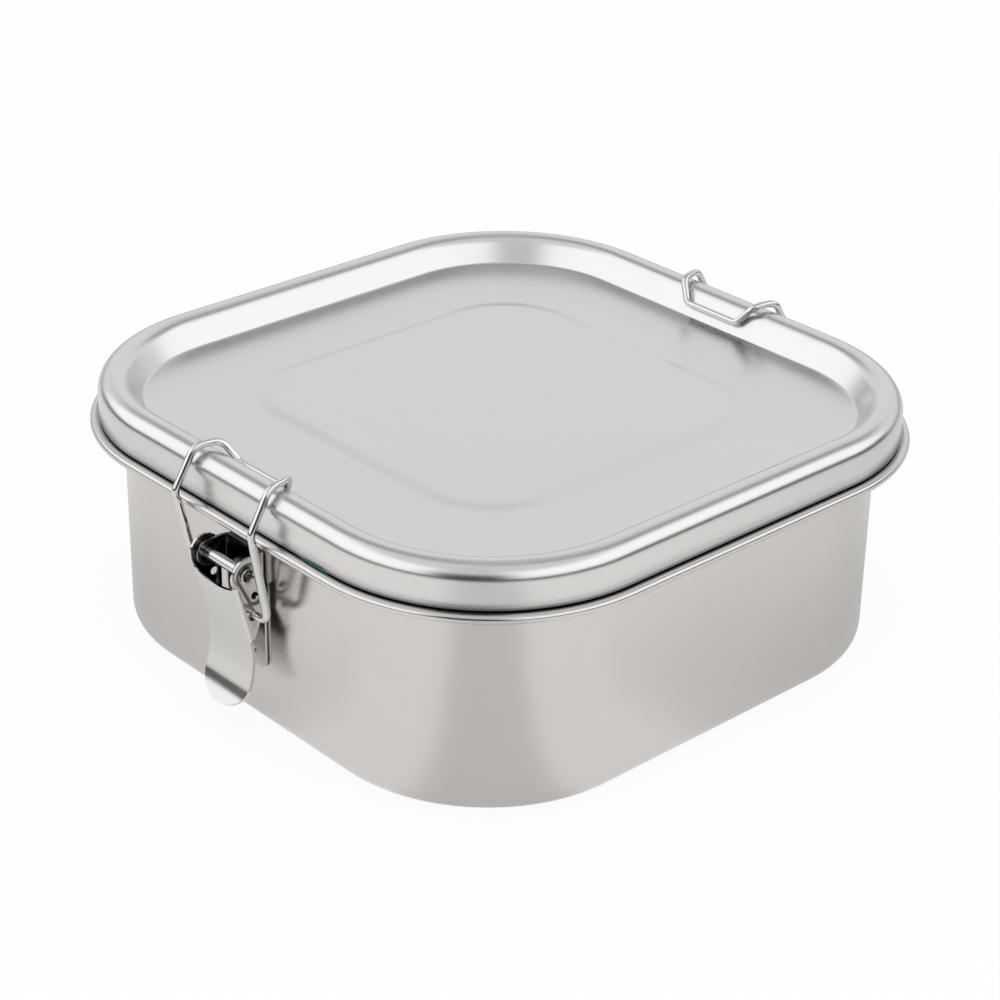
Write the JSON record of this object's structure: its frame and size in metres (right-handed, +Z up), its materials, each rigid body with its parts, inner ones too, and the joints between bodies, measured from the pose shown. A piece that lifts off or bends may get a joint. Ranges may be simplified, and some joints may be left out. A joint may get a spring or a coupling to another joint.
{
  "type": "lunch box",
  "caption": "Square stainless steel lunch box with rounded corners, a lift-off lid with a seal, and a wire latch on the front and on the back.",
  "frame": {"origin": "middle of the tub's underside, on the table", "axes": "+Z up; the two latches are on the -Y (front) and +Y (back) walls; X runs along those walls"},
  "size_m": [0.17, 0.1768, 0.0692],
  "materials": {
    "tub_steel": "bright drawn sheet with a faint vertical grain",
    "lid_steel": "bright drawn sheet, satin panel and polished bead",
    "seal_silicone": "matt moulded silicone",
    "latch_steel": "polished stamped sheet",
    "lever_steel": "satin front face with a polished tip and cheeks",
    "pin_steel": "polished",
    "wire_steel": "polished drawn wire"
  },
  "bodies": {
    "tub": {"tub": "tub_steel", "front_base_plate": "latch_steel", "front_pivot_rivet": "pin_steel", "front_pivot_sleeve": "pin_steel", "back_base_plate": "latch_steel", "back_pivot_rivet": "pin_steel", "back_pivot_sleeve": "pin_steel"},
    "lid": {"lid": "lid_steel", "lid_seal": "seal_silicone"},
    "front_lever": {"front_lever": "lever_steel"},
    "front_bail": {"front_bail": "wire_steel"},
    "back_lever": {"back_lever": "lever_steel"},
    "back_bail": {"back_bail": "wire_steel"}
  },
  "joints": [
    {"name": "lid_lift", "type": "slide", "parent": "tub", "child": "lid", "axis": [0, 0, 1], "range_m": [0, 0.06]},
    {"name": "front_lever_pivot", "type": "hinge", "parent": "tub", "child": "front_lever", "pos_m": [0, -0.0838, 0.0442], "axis": [-1, 0, 0], "range_deg": [0, 140]},
    {"name": "front_bail_pivot", "type": "hinge", "parent": "front_lever", "child": "front_bail", "pos_m": [0, -0.0824, 0.0337], "axis": [1, 0, 0], "range_deg": [0, 336]},
    {"name": "back_lever_pivot", "type": "hinge", "parent": "tub", "child": "back_lever", "pos_m": [0, 0.0838, 0.0442], "axis": [1, 0, 0], "range_deg": [0, 140]},
    {"name": "back_bail_pivot", "type": "hinge", "parent": "back_lever", "child": "back_bail", "pos_m": [0, 0.0824, 0.0337], "axis": [-1, 0, 0], "range_deg": [0, 336]}
  ],
  "couplings": [
    {"joint": "front_lever_pivot", "follows": "lid_lift", "rad_per_m": 40.724},
    {"joint": "front_bail_pivot", "follows": "lid_lift", "rad_per_m": 97.738},
    {"joint": "back_lever_pivot", "follows": "lid_lift", "rad_per_m": 40.724},
    {"joint": "back_bail_pivot", "follows": "lid_lift", "rad_per_m": 97.738}
  ]
}
